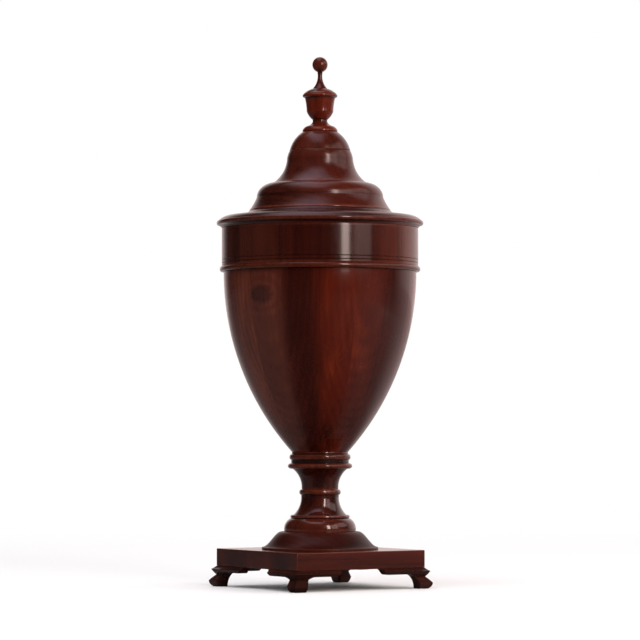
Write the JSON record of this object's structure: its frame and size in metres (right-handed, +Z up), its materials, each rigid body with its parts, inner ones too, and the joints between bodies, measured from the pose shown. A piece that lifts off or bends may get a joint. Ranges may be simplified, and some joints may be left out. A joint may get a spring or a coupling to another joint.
{
  "type": "knife urn",
  "caption": "Vase-shaped wooden urn on a square plinth with bracket feet; its domed lid slides up on a central stem to reach the knife slots inside.",
  "frame": {"origin": "on the floor, under the middle of the square plinth", "axes": "+Z up along the turning axis; +X and +Y square to the plinth's sides, -Y is the front"},
  "size_m": [0.242, 0.242, 0.6205],
  "materials": {
    "mahogany": "polished mahogany, red-brown",
    "red_mahogany": "polished mahogany, lighter and redder staves",
    "dark_mahogany": "polished mahogany, darkest pieces",
    "secondary_wood": "bare pale wood inside and underneath",
    "brass": "dull brass"
  },
  "bodies": {
    "urn": {"foot_front_left_face": "mahogany", "foot_front_left_return": "mahogany", "foot_front_right_face": "mahogany", "foot_front_right_return": "mahogany", "foot_back_left_face": "mahogany", "foot_back_left_return": "mahogany", "foot_back_right_face": "mahogany", "foot_back_right_return": "mahogany", "foot_blocks": "secondary_wood", "plinth": "mahogany", "socle": "mahogany", "turned_foot": "mahogany", "turned_neck": "mahogany", "bowl_plug": "secondary_wood", "bowl_stave_01": "mahogany", "bowl_stave_02": "red_mahogany", "bowl_stave_03": "dark_mahogany", "bowl_stave_04": "mahogany", "bowl_stave_05": "red_mahogany", "bowl_stave_06": "dark_mahogany", "bowl_stave_07": "mahogany", "bowl_stave_08": "red_mahogany", "bowl_stave_09": "dark_mahogany", "bowl_stave_10": "mahogany", "bowl_stave_11": "red_mahogany", "bowl_stave_12": "dark_mahogany", "bowl_stave_13": "mahogany", "bowl_stave_14": "red_mahogany", "bowl_stave_15": "dark_mahogany", "bowl_stave_16": "mahogany", "bowl_lip": "dark_mahogany", "deck_ledge": "secondary_wood", "outer_deck": "mahogany", "deck_riser": "mahogany", "inner_deck": "mahogany", "guide_board_front": "secondary_wood", "guide_board_back": "secondary_wood", "guide_board_left": "secondary_wood", "guide_board_right": "secondary_wood", "hold_spring": "brass", "spring_screws": "brass", "guide_plate": "brass", "plate_screws": "brass"},
    "lid": {"stem": "mahogany", "stop_peg": "brass", "lid_band": "mahogany", "lid_bead": "dark_mahogany", "lid_brim": "mahogany", "lid_shoulder": "mahogany", "lid_dome": "mahogany", "finial_cup": "mahogany", "finial": "mahogany"}
  },
  "joints": [
    {"name": "lid_lift", "type": "slide", "parent": "urn", "child": "lid", "axis": [0, 0, 1], "range_m": [0, 0.16]}
  ]
}
